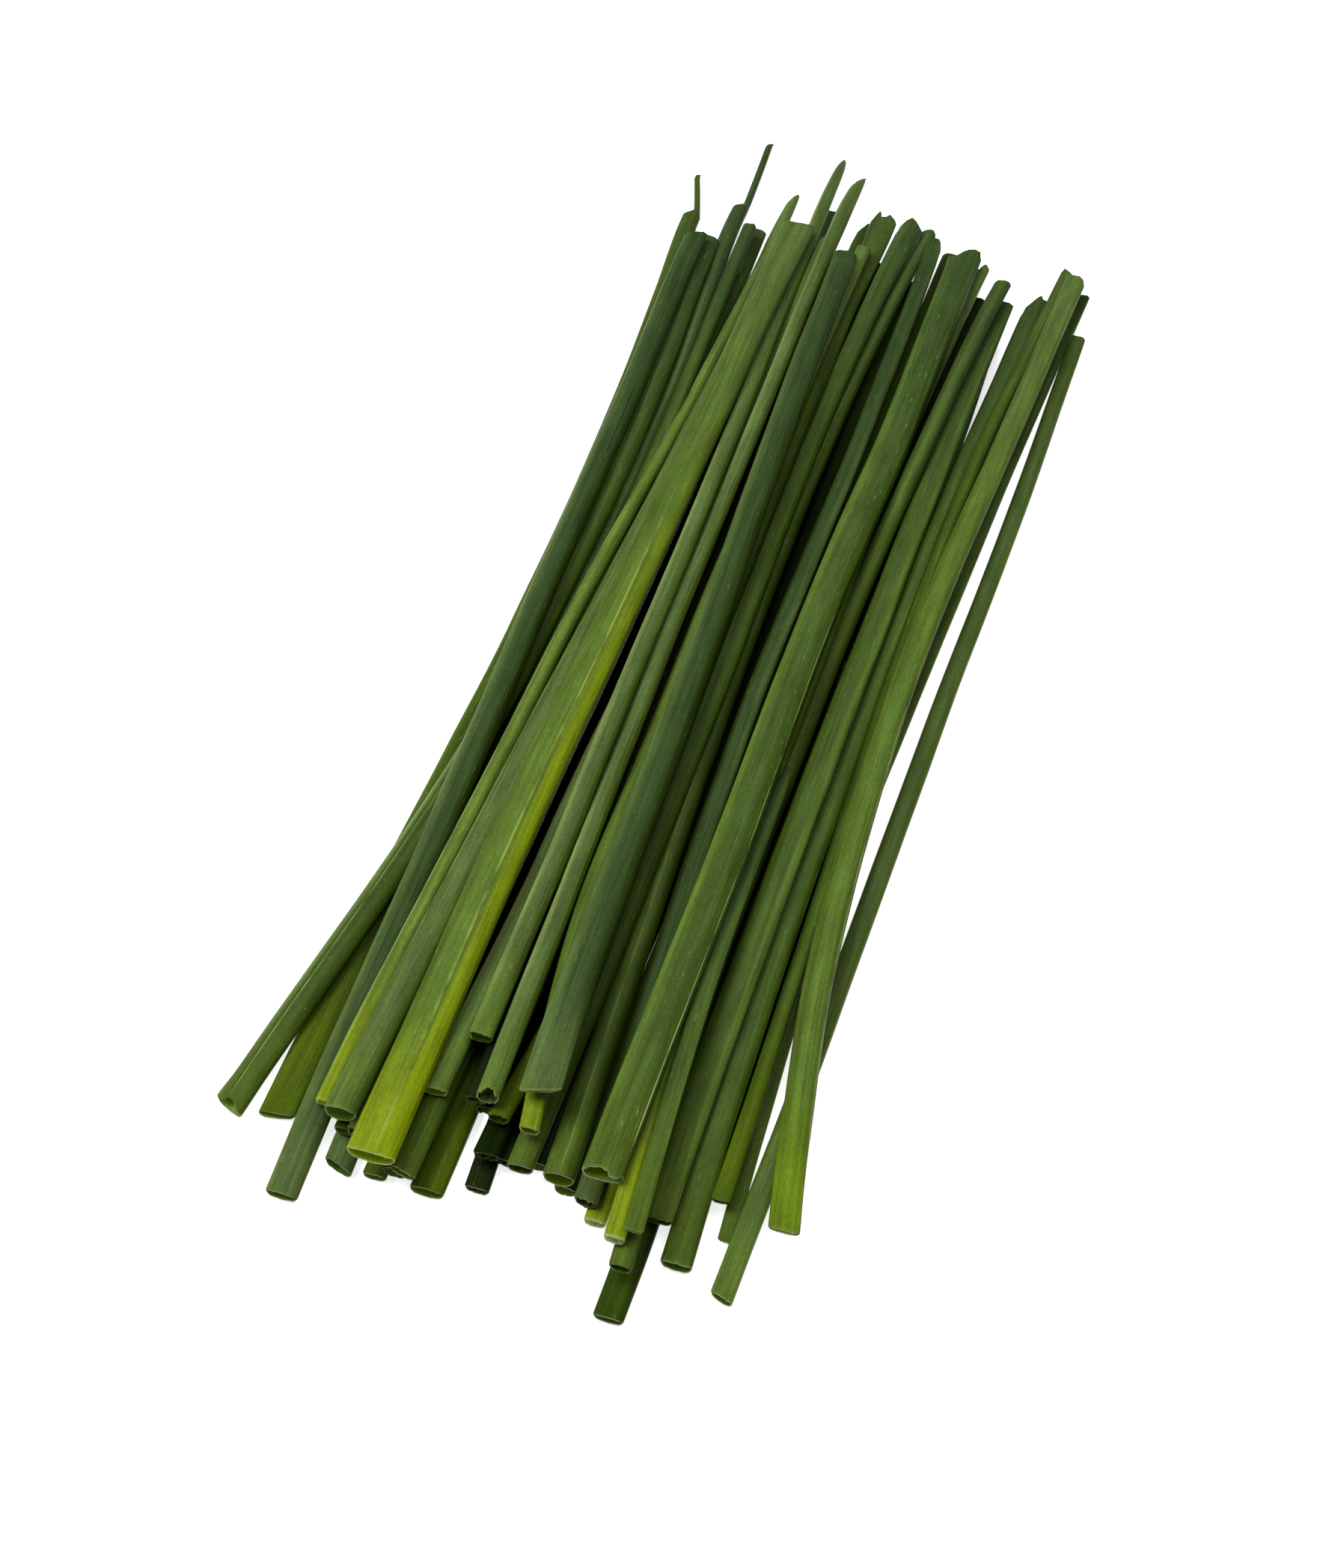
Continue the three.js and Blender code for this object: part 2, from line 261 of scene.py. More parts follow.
TONES = {
    # night and ink are almost black: mostly painted shade, for leaves deep in the bunch, shaded flanks and
    # dark hollows.
    "night": tone(5, 10, 5),
    "ink": tone(10, 20, 5),
    "pine": tone(25, 40, 10),
    "bottle": tone(40, 55, 10),
    "fern": tone(55, 75, 15),
    "moss": tone(65, 85, 30),
    "slate": tone(60, 80, 45),
    "leek": tone(75, 95, 45),
    "grass": tone(80, 100, 35),
    "sage": tone(90, 110, 60),
    "apple": tone(95, 120, 50),
    "pear": tone(120, 140, 60),
    "wax": tone(130, 150, 85),
    "straw": tone(160, 175, 75),
    "olive": tone(80, 100, 10),
    "lime": tone(105, 130, 10),
    "citrus": tone(135, 155, 15),
    "flesh": tone(175, 190, 120),
}
print(len(TONES), "tones")

# %% [markdown]
# ## Kinds of leaf
# A bunch is a mix of a few kinds of leaf. Each kind has a tone for its back, a darker tone
# that paints the shade on the flank turned from the light, a lighter one that paints the light
# and sheen on the lit flank, and a tone that it takes on towards the cut and towards the tip.
# Chives grow from the base, so the young tissue at the cut is yellower and the old tip is bluer.
# Painting every leaf by hand would give more say over each one, but a kind and a rule keep the
# bunch of one family, and a new leaf needs only one word.

# %% Kinds
KINDS = {
    # A dark leaf is painted shade: its whole skin stays near black, as deep in the bunch.
    "dark": dict(shade="night", back="ink", light="pine", cut=("pine", 6), tip=("bottle", 50)),
    "deep": dict(shade="ink", back="bottle", light="moss", cut=("fern", 14), tip=("moss", 60)),
    "mid": dict(shade="fern", back="leek", light="apple", cut=("grass", 16), tip=("slate", 70)),
    "blue": dict(shade="bottle", back="slate", light="sage", cut=("sage", 16), tip=("slate", 90)),
    "pale": dict(shade="grass", back="sage", light="wax", cut=("apple", 14), tip=("leek", 50)),
    "lime": dict(shade="grass", back="apple", light="pear", cut=("citrus", 20), tip=("sage", 80)),
    "fresh": dict(shade="grass", back="apple", light="pear", cut=("lime", 20), tip=("sage", 80)),
    "olive": dict(shade="bottle", back="moss", light="grass", cut=("olive", 26), tip=("leek", 70)),
}
# Painted light on the lit flank, painted shade on the other flank or both edges, a painted highlight on a
# ridge.
PAINTED_LIGHT_SIDES = {
    "even": ("shade", "back", "back", "shade"),
    "left": ("light", "back", "back", "shade"),
    "right": ("shade", "back", "back", "light"),
    "ridge": ("shade", "back", "light", "back", "shade"),
}


def tones_across(kind, lit):
    """The tones of a kind of leaf from left edge to right, with painted light and shade on its flanks."""
    return [KINDS[kind][part] for part in PAINTED_LIGHT_SIDES[lit]]


print(len(KINDS), "kinds of leaf, for example lime lit from the left:", tones_across("lime", "left"))

# %% [markdown]
# ## What each blade looks like
# A look gives the kind of leaf, the side on which light is painted, with painted shade on the
# other, and how it differs from a plain round tube:
#
# - `keel`: where its back is highest, from -1 at the left to 1 at the right, and how each side
#   falls away from there: 1 is a flat roof, 2 is round, 4 is a flat back with round edges
# - `folds`: lines pressed into the back, as place across, depth and half-width in millimetres
# - `lines`: pale or dark lines along the back: some are dry scratches and spots, the pale ones
#   along edges, folds and ridges are painted highlights, and most dark ones are painted shade
#   beside folds and edges; as place across, half-width, tone, the two distances from the cut
#   between which they run, and how strong they are
# - `blush`: a flank that has kept the young tone, as the place across where it is strongest,
#   its half-width, the tone and how far it reaches from the cut
# - `mouth`: how open the cut end is, and `rag`: how ragged its rim is, in millimetres
# - `short`: how much shorter the far end is than its longest point, at places across it
# - `spread`: how much wider than the frame's tube it lies, in millimetres, and `flare`: the same
#   as a share of its width, at the far end only

# %% Looks
SQUARE_END = ((-1, 0.6), (-0.7, 0.1), (0.6, 0.1), (1, 0.6))


def look(kind, lit="even", keel=(0, 2.6, 2.6), folds=(), lines=(), mouth=0.9, rag=0.05, rake=0.0,
         bite=((-1, 0), (1, 0)), short=SQUARE_END, flecks=0.5, gloss=0.5, ribs=0.5, inside="grass",
         rim="apple", pale=0.35, spread=0.0, flare=0.0, flush=False, lean=0.0, blush=None):
    """Everything that sets one leaf apart from a plain round tube."""
    return dict(kind=kind, lit=lit, keel=keel, folds=folds, lines=lines, mouth=mouth, rag=rag, rake=rake,
                bite=bite, short=short, flecks=flecks, gloss=gloss, ribs=ribs, inside=inside, rim=rim,
                pale=pale, spread=spread, flare=flare, flush=flush, lean=lean, blush=blush)


def hidden(**others):
    """A bottom leaf, of which only a strip shows between its neighbours; near black, as painted shade."""
    traits = dict(flecks=0.1, gloss=0.2, inside="pine", rim="bottle", rag=0.12, pale=0)
    return look("dark", **{**traits, **others})


BOTTOM_LOOKS = {
    1: look("olive", "left", keel=(0, 3, 3), mouth=0.5, inside="olive", rim="olive", flush=True, flare=-0.2,
            pale=0.1, bite=((-1, 0), (-0.9, 0.4), (0, 0.1), (1, 0)),
            lines=[(0.72, 0.05, "grass", 0, 30, 0.5)]),
    2: hidden(),
    3: look("blue", "ridge", keel=(-0.1, 2, 2), inside="fern", rag=0.1, rim="fern", flush=True, flare=-0.1,
            pale=0.2, lines=[(0.05, 0.08, "sage", 0, 12, 0.6)]),
    4: look("mid", "right", inside="grass", rim="leek", pale=0.2, mouth=0.7),
    5: hidden(),
    6: look("olive", "even", mouth=0.7, inside="olive", rim="fern", rag=0.1, flare=0.3, pale=0.1, ribs=1.6,
            lines=[(0.3, 0.04, "leek", 0, 14, 0.5), (0.55, 0.03, "leek", 0, 12, 0.4)],
            short=((-1, 4.5), (-0.6, 3.2), (-0.3, 2.0), (0.1, 2.6), (0.5, 1.6), (0.9, -0.2), (1, 0.2))),
    7: look("dark", "even", mouth=0.7, inside="bottle", rim="pine", rag=0.08, ribs=1.5, pale=0),
    8: hidden(rim="ink", inside="night"),
    9: look("dark", "right", rim="bottle", pale=0),
    10: look("deep", "left", inside="olive", rim="fern", rag=0.14, flare=0.4, pale=0.1),
    11: look("lime", "right", inside="flesh", rim="flesh", mouth=0.8, pale=0.6),
    12: hidden(spread=0.45),
    13: look("deep", "even", mouth=0.6, inside="moss", rim="apple", keel=(0, 3, 2.6), spread=0.3, pale=0.1),
    14: look("mid", "even", rim="moss"),
    15: look("dark", "even", rim="moss"),
    16: look("mid", "right", mouth=0.6, inside="bottle", rim="moss", rake=0.3, spread=0.2,
             short=((-1, 0.2), (0.6, 0), (1, 0.4))),
    17: look("pale", "even", mouth=0.8, inside="moss", rim="pear",
             short=((-1, -0.2), (-0.7, -0.6), (0.7, -0.6), (1, -0.2))),
    18: hidden(inside="moss"),
    19: hidden(spread=0.1),
}

SECOND_LOOKS = {
    1: look("mid", "left", keel=(-0.3, 1.5, 1.7), folds=[(-0.34, 0.17, 0.22)],
            lines=[(-0.3, 0.035, "flesh", 0, 60, 1.4), (-0.4, 0.05, "pine", 0, 90, 0.8),
                   (0.3, 0.03, "apple", 0, 40, 0.4)], mouth=0.8, inside="lime", rim="moss", ribs=1.2,
            pale=0.15,
            bite=((-1, 0), (-0.5, 0.1), (-0.32, 0.0), (-0.2, 0.9), (0.3, 1.1), (0.7, 0.4), (1, 0))),
    2: look("blue", "left", keel=(0.1, 2.6, 1.6), folds=[(0.35, 0.08, 0.2)], rim="sage",
            lines=[(0.3, 0.04, "sage", 8, 100, 0.8), (0.62, 0.04, "sage", 30, 100, 0.5)], mouth=0.7,
            inside="olive", ribs=1.2, short=((-1, 1.6), (-0.7, 0.9), (0.6, 0.1), (1, 0.3))),
    3: look("deep", "right", inside="bottle", rim="moss"),
    4: look("mid", "even", inside="ink", rim="leek", rag=0.3, pale=0.2),
    5: look("mid", "even",
            lines=[(0.25, 0.07, "pear", 0, 40, 0.5), (-0.15, 0.06, "flesh", 7, 9.5, 2.5),
                   (0.0, 0.04, "flesh", 9, 11, 2.5), (-0.6, 0.05, "pear", 1, 6, 0.8)], mouth=0.6, rag=0.14,
            inside="olive", rim="olive", pale=0.1),
    6: look("dark", "even", rag=0.25, inside="night", rim="pine", flecks=0, gloss=0.1, pale=0),
    7: look("dark", "even", rag=0.25, inside="ink", rim="fern", pale=0.1),
    8: look("mid", "ridge", keel=(0.1, 2, 2), gloss=0.9, inside="olive", rim="leek", ribs=0.3,
            lines=[(0.1, 0.12, "wax", 0, 160, 0.9), (0.2, 0.04, "wax", 30, 120, 0.8)],
            short=((-1, 1.2), (0, 0.6), (0.6, 0.8), (1, 1.6))),
    9: look("mid", "left", inside="ink", rim="moss", flare=0.25, pale=0.1,
            short=((-1, 3.0), (-0.6, 1.2), (-0.2, 0.3), (0.2, 1.0), (0.6, 2.0), (1, 3.0))),
    10: look("blue", "right", gloss=0.6, rag=0.25, inside="night", rim="pine", pale=0,
             short=((-1, 3.0), (-0.2, 2.3), (0.3, 2.4), (0.7, 3.2), (1, 5.0))),
    11: look("mid", "even", keel=(0.1, 3.6, 4), mouth=0.8, rag=0.1, inside="moss", rim="pear", pale=0.3,
             lines=[(0.95, 0.04, "wax", 0, 130, 0.6), (0.25, 0.035, "night", 5.2, 5.9, 2.5)],
             short=((-1, 3.5), (-0.4, 1.6), (0, 0.3), (0.3, -0.2), (0.6, 0.8), (1, 0.9))),
    12: look("olive", "ridge", inside="night", rim="olive", mouth=0.5, pale=0,
             lines=[(0.12, 0.1, "grass", 0, 90, 0.6)],
             short=((-1, 0.6), (-0.6, -0.5), (0, 0), (0.6, 0.6), (1, 1.2))),
    13: look("mid", "right", keel=(0, 3.4, 3.4), mouth=0.6, inside="ink", rim="fern", pale=0.1,
             lines=[(0.95, 0.04, "wax", 0, 120, 0.5)], flare=0.2),
}

THIRD_LOOKS = {
    1: look("dark", "even", rag=0.2, inside="ink", rim="fern", pale=0),
    2: look("olive", "ridge", rag=0.14, inside="ink", rim="olive", flare=0.7, pale=0.1,
            short=((-1, 1.6), (-0.5, -0.1), (-0.1, 1.4), (0.5, 1.2), (0.9, 0.4), (1, 0.8))),
    3: look("mid", "ridge", keel=(0.2, 3, 2), inside="pine", rim="leek", pale=0.1,
            short=((-1, 1.4), (-0.6, 0.4), (0.2, 0.2), (0.7, 0.5), (1, 0.9))),
    4: look("lime", "even", inside="flesh", rim="flesh", mouth=0.75, pale=0.7,
            short=((-1, 2.8), (-0.4, 1.9), (0.1, 0.7), (0.5, 0.7), (1, 1.6))),
    5: look("lime", "even", inside="moss", rim="straw", mouth=0.7),
    6: look("pale", "left", inside="olive", rim="straw", mouth=0.8, spread=0.3),
    7: look("lime", "ridge", spread=-0.5, keel=(-0.3, 1.8, 1.8),
            lines=[(-0.8, 0.12, "flesh", 4, 150, 0.8), (-0.1, 0.1, "flesh", 70, 78, 0.7)], inside="citrus",
            rim="straw", mouth=0.5, flare=0.5, lean=0.7, short=((-1, -0.8), (1, -1.4))),
}

TOP_LOOKS = {
    1: look("pale", "even", keel=(-0.05, 2.2, 2.2), lines=[(-0.8, 0.08, "flesh", 25, 90, 0.4)],
            inside="grass", rim="wax", rag=0.08, mouth=1.0, pale=0.5),
    2: look("mid", "right", keel=(-0.3, 2.6, 2), mouth=0.4, inside="grass", rim="pear"),
    3: look("pale", "left", keel=(-0.2, 1.7, 2), folds=[(-0.15, 0.05, 0.2)], rag=0.16, inside="ink",
            rim="wax", ribs=0.8, bite=((-1, 0), (-0.6, 0.1), (-0.2, 0.9), (0.4, 1.0), (1, 0)),
            short=((-1, 0.6), (1, 0.2)), flare=0.2, lean=0.7),
    4: look("pale", "left", keel=(-0.05, 2.2, 2.2), rag=0.14, inside="bottle", rim="wax",
            short=((-1, 0.6), (1, 0.2))),
    5: look("mid", "left", spread=0.5, keel=(0.05, 4, 4), folds=[(0.82, -0.12, 0.2), (0.66, 0.06, 0.2)],
            lines=[(0.86, 0.04, "flesh", 4, 110, 1.6), (-0.6, 0.05, "bottle", 20, 120, 0.3),
                   (0.95, 0.05, "moss", 0, 110, 0.8), (-0.1, 0.1, "flesh", 26, 28, 3.0),
                   (-0.02, 0.05, "flesh", 25.6, 26.6, 3.0), (-0.5, 0.07, "flesh", 12.6, 13.8, 2.0)],
            mouth=1.0, rag=0.16, inside="olive", rim="wax", flecks=0.9,
            bite=((-1, 0), (-0.8, 0.1), (-0.7, 0.5), (-0.2, 0.7), (0.25, 0.5), (0.35, -0.2), (0.7, -0.4),
                  (1, 0)),
            short=((-1, 3.2), (-0.55, 3.0), (-0.2, 1.6), (0.1, 0.9), (0.5, 0.5), (0.75, 0.9), (1, 2.5))),
    6: look("fresh", "even", keel=(0.2, 3.6, 3.6), lines=[(0.9, 0.06, "flesh", 0, 100, 0.6)], mouth=0.4,
            inside="citrus", rim="wax", short=((-1, 0.3), (0.3, 0.2), (0.8, 1.0), (1, 2.2))),
    7: look("blue", "left", keel=(-0.2, 1.8, 3), folds=[(-0.22, 0.06, 0.25)],
            lines=[(-0.2, 0.03, "bottle", 6, 150, 0.4)], mouth=0.2, inside="leek", rim="wax", rag=0.04,
            pale=0.5, short=((-1, 5.8), (-0.4, 5.4), (0.2, 5.2), (0.6, 5.0), (1, 5.9))),
    8: look("lime", "even", keel=(0.12, 3.2, 2.6), folds=[(0.15, -0.06, 0.35)], spread=0.5,
            blush=(1, 0.9, "citrus", 150),
            lines=[(0.16, 0.1, "straw", 0, 120, 0.9), (-0.97, 0.05, "flesh", 0, 150, 0.3)], mouth=0.75,
            inside="citrus", rim="straw", rag=0.04, flecks=0.8, flare=0.12, pale=0.5,
            short=((-1, 0.5), (-0.7, 0.2), (0.3, 0.2), (0.8, 0.2), (1, 0.4))),
}

LOOKS = {
    f"{layer}_blade_{number:02d}": traits
    for layer, looks in (("bottom", BOTTOM_LOOKS), ("second", SECOND_LOOKS),
                         ("third", THIRD_LOOKS), ("top", TOP_LOOKS))
    for number, traits in looks.items()
}
print("looks for", sum(node in LOOKS for node in BLADES), "of", len(BLADES), "blades")

# %% [markdown]
# ## The shape of a leaf
# A chive leaf is a thin-walled tube. Its wall is lofted twice, once outside and once inside, and
# the two skins are joined round the cut rim, so that the solid is closed and the hollow is open,
# as on the frame's blades.

# %% Cross-section
TOP_POINTS = 40
UNDER_POINTS = 16
WALL = 0.24 * MM
PLUMP = 0.08 * MM
LOWEST = 0.02 * MM

angles = np.concatenate([
    np.linspace(0, math.pi, TOP_POINTS, endpoint=False),
    np.linspace(math.pi, 2 * math.pi, UNDER_POINTS, endpoint=False),
])
ROUND = len(angles)


def back_height(across, place, left, right):
    """Height of the leaf's back at places across it, as a share of its half thickness."""
    power = np.where(across < place, left, right)
    side = np.where(across < place, 1 + place, 1 - place)
    t = np.clip(np.abs(across - place) / side, 0, 1)
    return (1 - t ** power) ** (1 / power)


def wander(seed, at, pitch, octaves=(1.0, 2.3, 4.1)):
    """A slow, smooth, repeatable wobble between about -1 and 1."""
    rng = np.random.default_rng(seed)
    total = sum(np.sin(at / pitch * 2 * math.pi * o + rng.uniform(0, 2 * math.pi)) / o for o in octaves)
    return total / sum(1 / o for o in octaves)


def stations(start, end, marks):
    """Places along a blade, close together at its ends and at other marks."""
    places = [start]
    while places[-1] < end:
        near = min(abs(places[-1] - mark) for mark in (start, end, *marks))
        places.append(places[-1] + (0.25 + 1.9 * soft_step(near / (7 * MM))) * MM)
    places = np.array(places)
    return start + (places - start) * (end - start) / (places[-1] - start)


print("points round a leaf:", ROUND)

# %% [markdown]
# A knife crushes some leaves and leaves others open, and a torn leaf has a ragged rim. Both come
# from sliding the points of the last few millimetres along the leaf, more or less far depending
# on where they are round it. Nothing is cut away, so the mesh stays clean.

# %% Loft one leaf
RIB = 0.02 * MM
RIB_PITCH = 0.5 * MM
END_REACH = 6 * MM
RIM_REACH = 1.6 * MM
TORN_STRIP = 1.3 * MM
SOLID_TIP = 10 * MM
LINING_STEP = 3
PRESSED_TIP = 0.4
SLANTED_TIP = 0.3
ROUND_CORNER = 0.35 * MM


def leaf_mesh(node, traits, seed):
    """The closed mesh of one leaf, its length in millimetres, and the station of each of its rings."""
    rows, skew = runs[node]
    start, end = rows[0, 0], rows[-1, 0]
    closed_tip = rows[-1, 3] < TORN_STRIP
    torn = closed_tip and rows[-2, 3] < TORN_STRIP
    marks = rows[-3:-1, 0] if closed_tip else ()
    along = stations(start, end, marks)
    middle_x, middle_z, width, thick = (smooth_curve(along, rows[:, 0], rows[:, k]) for k in (1, 2, 3, 4))
    if closed_tip:
        straight = along > rows[-3, 0]
        middle_x = np.where(straight, np.interp(along, rows[:, 0], rows[:, 1]), middle_x)
        if torn:
            width = np.where(straight, np.interp(along, rows[:, 0], rows[:, 3]), width)
    from_cut = along - start
    from_tip = end - along

    half_w = width / 2 * (1 + 0.02 * wander(seed, along, 60 * MM)) + PLUMP + traits["spread"] / 2 * MM
    half_w = half_w * (1 + traits["flare"] * (1 - soft_step(from_tip / (30 * MM))))
    half_t = thick / 2 + PLUMP
    half_t = half_t * (1 - (1 - traits["mouth"]) * (1 - soft_step(from_cut / (14 * MM))))
    if not closed_tip:
        half_t = half_t * (1 - PRESSED_TIP * (1 - soft_step(from_tip / (16 * MM))))
    if closed_tip:
        rounding = np.sqrt(np.clip(1 - (1 - from_tip / (1.2 * MM)).clip(0, 1) ** 2, 1e-4, 1))
        half_w, half_t = half_w * rounding, half_t * rounding
    if torn:
        shoulder = rows[-3, 0]
        right = rows[-3, 1] + np.interp(shoulder, along, half_w), rows[-1, 1] + rows[-1, 3] / 2 + PLUMP
        if traits["flush"]:
            middle_x = np.where(along > shoulder, np.interp(along, (shoulder, end), right) - half_w, middle_x)
    elif closed_tip:
        narrowing = np.interp(rows[-3, 0], along, half_w) - half_w
        middle_x = middle_x + np.where(along > rows[-3, 0], traits["lean"] * narrowing, 0)
    middle_x = middle_x + 0.12 * MM * wander(seed + 7, along, 130 * MM)

    across = np.cos(angles)[None, :]
    top = np.sin(angles)[None, :] >= 0
    drift = 0.05 * wander(seed + 1, along, 120 * MM)[:, None]
    place, left, right = traits["keel"]
    height = np.where(top, back_height(across, place + drift, left, right),
                      -np.sqrt(np.clip(1 - across ** 2, 0, 1)))

    ribs_round = round(2 * math.pi * width.mean() / 2 / RIB_PITCH)
    phase = wander(seed + 2, along, 90 * MM)[:, None]
    side_fade = np.abs(np.sin(angles))[None, :] ** 0.5
    lift = traits["ribs"] * RIB * np.cos(ribs_round * angles[None, :] + phase) * side_fade
    for fold_at, depth, half in traits["folds"]:
        off = (across - fold_at - drift) * half_w[:, None] / (half * MM)
        lift = lift - np.where(top, depth * MM * np.exp(-off ** 2), 0)

    round_rim = (wander(seed + 3, angles, 2 * math.pi, (1, 2, 3, 5))
                 + 0.6 * wander(seed + 5, angles, 2 * math.pi, (9, 14, 23)))
    tip_rim = wander(seed + 4, angles, 2 * math.pi, (2, 3, 7))
    places, drops = zip(*traits["short"])
    tip_shape = (np.interp(np.cos(angles), places, drops) + 0.12 * tip_rim)[None, :] * MM
    tip_reach = max(END_REACH, 1.8 * np.abs(tip_shape).max())

    places, drops = zip(*traits["bite"])
    bite = np.interp(np.cos(angles), places, drops)[None, :] * MM
    corner = ROUND_CORNER * np.clip((np.abs(across) - 0.7) / 0.3, 0, 1) ** 2

    def skin(inset, keep_lift):
        w = np.maximum(half_w - inset, 0.1 * MM)[:, None]
        t = np.maximum(half_t - inset, 0.08 * MM)[:, None]
        x, z = across * w, height * t
        if keep_lift:
            fade = np.clip(half_t / (0.6 * MM), 0, 1)[:, None]
            x, z = x + across * lift * fade, z + np.sign(height) * lift * np.abs(height) * fade
        cut = skew / 2 * across - traits["rake"] * MM * height + corner + bite * np.maximum(height, 0)
        y = along[:, None] + cut * (1 - soft_step(from_cut / END_REACH))[:, None]
        y = y + traits["rag"] * MM * round_rim[None, :] * (1 - soft_step(from_cut / RIM_REACH))[:, None]
        lower = SLANTED_TIP * (1 - height) * half_t[:, None] * (0 if closed_tip else 1)
        slant = np.clip(half_w / (0.9 * MM), 0, 1)[:, None] if closed_tip else 1
        y = y + (lower - tip_shape) * slant * (1 - soft_step(from_tip / tip_reach))[:, None]
        return np.stack([middle_x[:, None] + x, y + 0 * x, middle_z[:, None] + z], axis=2)

    outside = skin(0, True)
    inside = skin(WALL, False)
    hollow = np.unique(np.concatenate([np.arange(0, 12, 2), np.arange(12, len(along), LINING_STEP)]))
    if closed_tip:
        hollow = hollow[(thick[hollow] > 3.5 * WALL) & (from_tip[hollow] > SOLID_TIP)]
    else:
        hollow = np.append(hollow[hollow < len(along) - 3], len(along) - 1)
    inside = inside[hollow]

    rings = [*outside[::-1], *inside]
    vertices = np.concatenate(rings)
    vertices[:, 2] = np.maximum(vertices[:, 2], LOWEST)
    count = len(rings)
    step = np.arange(ROUND)
    quads = []
    slots = []
    for r in range(count - 1):
        a, b = r * ROUND + step, r * ROUND + (step + 1) % ROUND
        quads.append(np.stack([a, b, b + ROUND, a + ROUND], axis=1))
        slots += [0 if r < len(outside) - 1 else (1 if r == len(outside) - 1 else 2)] * ROUND
    last = (count - 1) * ROUND
    if closed_tip:
        faces = np.concatenate(quads).tolist() + [list(range(ROUND))[::-1], list(range(last, last + ROUND))]
        slots += [0, 2]
    else:
        a, b = last + step, last + (step + 1) % ROUND
        quads.append(np.stack([a, b, b - last, a - last], axis=1))
        faces = np.concatenate(quads).tolist()
        slots += [1] * ROUND

    mesh = bpy.data.meshes.new(node.replace("blade", "leaf"))
    mesh.from_pydata(vertices.tolist(), [], faces)
    mesh.polygons.foreach_set("material_index", slots)
    mesh.shade_smooth()
    keep_rims_sharp(mesh, slots)

    radius = width.mean() / 2 / MM
    grain = np.zeros((count, ROUND, 3))
    grain[:, :, 0], grain[:, :, 1] = np.cos(angles) * radius, np.sin(angles) * radius
    grain[:, :, 2] = np.concatenate([from_cut[::-1], from_cut[hollow]])[:, None] / MM
    mesh.attributes.new("grain", "FLOAT_VECTOR", "POINT").data.foreach_set("vector", grain.ravel())
    mesh.attributes.new("across", "FLOAT", "POINT").data.foreach_set("value", np.tile(np.cos(angles), count))
    ring_stations = np.concatenate([np.arange(len(along))[::-1], hollow])
    return mesh, (end - start) / MM, ring_stations


def keep_rims_sharp(mesh, slots):
    """Marks the edges between skin, rim and lining, so that they stay crisp."""
    around = {}
    for face, slot in zip(mesh.polygons, slots):
        for edge in face.edge_keys:
            around.setdefault(edge, set()).add(slot)
    sharp = [len(around[tuple(sorted(edge.vertices))]) > 1 for edge in mesh.edges]
    mesh.attributes.new("sharp_edge", "BOOLEAN", "EDGE").data.foreach_set("value", sharp)


print("wall of a leaf, mm:", round(WALL / MM, 2))


# %% [markdown]
# Leaves that lie together press each other flat where they touch. A physics simulation could
# find that shape, but the leaves barely move, so it is enough to look for points of one skin
# that lie inside a neighbour and to press both skins back, a little at a time. Each shift is
# passed on to the next points along the leaf, so no dent shows, and the lining of the hollow
# moves with the skin. The last millimetre at each end is left alone, because a skin is open
# there and has no clear inside.

# %% Press neighbours apart
PRESS_ROUNDS = 8
PRESS_SHARE = 0.6
PRESS_GAP = 0.04 * MM
DEEPEST_PRESS = 1.2 * MM
END_MARGIN = 1 * MM


def skin_tree(skin):
    """A search tree over an outer skin, given as rings of points from tip to cut."""
    step = np.arange(ROUND)
    a, b = step, (step + 1) % ROUND
    quads = [np.stack([a, b, b + ROUND, a + ROUND], axis=1) + r * ROUND for r in range(len(skin) - 1)]
    return BVHTree.FromPolygons(skin.reshape(-1, 3).tolist(), np.concatenate(quads).tolist())


def overlaps(skins):
    """For each skin, the way out of its neighbours at each of its points."""
    trees = {node: skin_tree(skin) for node, skin in skins.items()}
    boxes = {node: (skin.min(axis=(0, 1)), skin.max(axis=(0, 1))) for node, skin in skins.items()}
    ways = {node: np.zeros_like(skin) for node, skin in skins.items()}
    margin = np.array([0, END_MARGIN, 0])
    for node, skin in skins.items():
        for other, (low, high) in boxes.items():
            if other == node:
                continue
            near = ((skin > low + margin) & (skin < high - margin)).all(axis=2)
            for ring, corner in np.argwhere(near):
                point = Vector(skin[ring, corner])
                surface, normal, _, depth = trees[other].find_nearest(point, DEEPEST_PRESS)
                if surface is None or (point - surface).dot(normal) >= 0:
                    continue
                if depth > np.linalg.norm(ways[node][ring, corner]):
                    ways[node][ring, corner] = surface - point + normal * PRESS_GAP
    return ways


def press_apart(skins):
    """Moves touching skins back, each by about half the overlap, and returns each point's move."""
    started = {node: skin.copy() for node, skin in skins.items()}
    for _ in range(PRESS_ROUNDS):
        ways = overlaps(skins)
        for node, way in ways.items():
            smooth = way.copy()
            smooth[1:-1] = (way[:-2] + 2 * way[1:-1] + way[2:]) / 4
            skins[node] = skins[node] + PRESS_SHARE * np.where(np.abs(smooth) > np.abs(way), smooth, way)
    return {node: skins[node] - started[node] for node in skins}


print("gap left between pressed leaves, mm:", round(PRESS_GAP / MM, 2))


# %% [markdown]
# ## The skin of a leaf
# The skin is satin and waxy. Its colour changes across the leaf in long bands, which paint the
# light on its lit flank and the shade on its other flank, with fine darker and lighter streaks
# that follow the veins, and it is paler near the cut. The streaks come from noise that is
# stretched along the leaf's own length, so they bend with it. Image textures could hold the
# same marks, but noise never repeats and needs no unwrapping.

